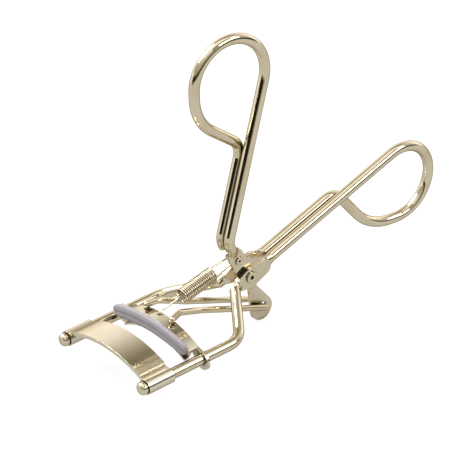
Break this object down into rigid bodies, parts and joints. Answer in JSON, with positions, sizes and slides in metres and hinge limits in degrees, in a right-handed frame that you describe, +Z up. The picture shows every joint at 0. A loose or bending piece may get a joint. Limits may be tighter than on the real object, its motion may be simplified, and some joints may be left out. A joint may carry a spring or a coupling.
{
  "type": "eyelash curler",
  "caption": "Gilt wire eyelash curler: finger and thumb loops crossed on a rivet, an arched front jaw, and a sprung rubber-padded jaw that slides on two rails.",
  "frame": {"origin": "on the ground plane under the middle of the open tool, level with the lowest point of the thumb lever", "axes": "+Y back along the guide rails to the finger loop, +Z up towards the thumb loop, +X across the jaws along the pivot"},
  "size_m": [0.037, 0.1158, 0.0855],
  "materials": {
    "gilt_wire": "bright pale gold plating on drawn wire",
    "gilt_sheet": "bright pale gold plating on pressed sheet",
    "spring_wire": "pale gold plating on spring wire",
    "rubber_pad": "matt moulded silicone rubber, lavender grey"
  },
  "bodies": {
    "frame": {"frame_wire": "gilt_wire", "front_plate": "gilt_sheet", "rail_cap_left": "gilt_wire", "rail_cap_right": "gilt_wire", "pivot_rivet": "gilt_wire"},
    "thumb_handle": {"thumb_handle_wire": "gilt_wire", "spring_pin": "gilt_wire"},
    "jaw": {"pad_holder": "gilt_sheet", "rubber_pad": "rubber_pad"},
    "links": {"link_left": "gilt_wire", "link_right": "gilt_wire"},
    "spring_hook": {"spring_hook": "spring_wire"},
    "spring_coil": {"spring_coil": "spring_wire"}
  },
  "joints": [
    {"name": "handle_pivot", "type": "hinge", "parent": "frame", "child": "thumb_handle", "pos_m": [0, -0.00942, 0.0154], "axis": [1, 0, 0], "range_deg": [-27.56, 0], "stiffness_Nm_per_rad": 0.02, "springref_deg": 20.05},
    {"name": "jaw_slide", "type": "slide", "parent": "frame", "child": "jaw", "axis": [0, 1, 0], "range_m": [-0.0056, 0]},
    {"name": "link_pivot", "type": "hinge", "parent": "jaw", "child": "links", "pos_m": [0, -0.03767, 0.015], "axis": [1, 0, 0], "range_deg": [-1.6, 0]},
    {"name": "spring_swing", "type": "hinge", "parent": "thumb_handle", "child": "spring_coil", "pos_m": [0, -0.01221, 0.02099], "axis": [1, 0, 0], "range_deg": [0, 26]},
    {"name": "spring_stretch", "type": "slide", "parent": "spring_coil", "child": "spring_hook", "axis": [0, 0.9779, 0.2091], "range_m": [-0.0085, 0]}
  ],
  "couplings": [
    {"joint": "jaw_slide", "follows": "handle_pivot", "m_per_rad": 0.011435},
    {"joint": "link_pivot", "follows": "handle_pivot", "ratio": 0.05585},
    {"joint": "spring_swing", "follows": "handle_pivot", "ratio": -0.93256},
    {"joint": "spring_stretch", "follows": "handle_pivot", "m_per_rad": 0.01741}
  ]
}
